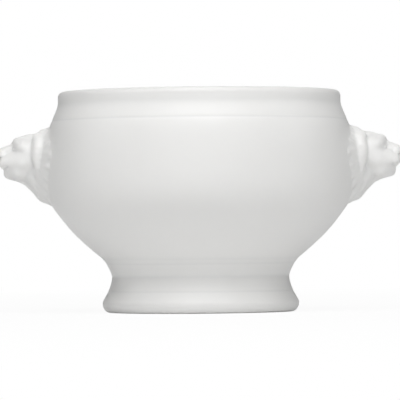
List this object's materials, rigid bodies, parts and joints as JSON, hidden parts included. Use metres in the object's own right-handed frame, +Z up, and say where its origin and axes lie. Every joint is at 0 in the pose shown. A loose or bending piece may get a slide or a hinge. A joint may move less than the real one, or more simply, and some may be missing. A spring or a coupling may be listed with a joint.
{
  "type": "french onion soup crock",
  "caption": "Footed round soup crock in white glazed porcelain, with a rounded lip, an incised shoulder line and a lion head handle on either side.",
  "frame": {"origin": "centre of the foot's resting face, on the table", "axes": "+Z up through the rim, X across the crock through both lion heads, Y from front to back"},
  "size_m": [0.1614, 0.1236, 0.0882],
  "materials": {
    "white_glaze": "glossy white glaze over porcelain",
    "head_glaze": "glossy white glaze, pooled a little in the carving",
    "foot_glaze": "glossy white glaze, wiped off the resting ring",
    "fired_slip": "matt fired porcelain slip"
  },
  "bodies": {
    "root": {"bowl": "white_glaze", "foot": "foot_glaze", "foot_slip_joint": "fired_slip", "right_lion_head": "head_glaze", "left_lion_head": "head_glaze", "right_head_slip_joint": "fired_slip", "left_head_slip_joint": "fired_slip"}
  },
  "joints": []
}
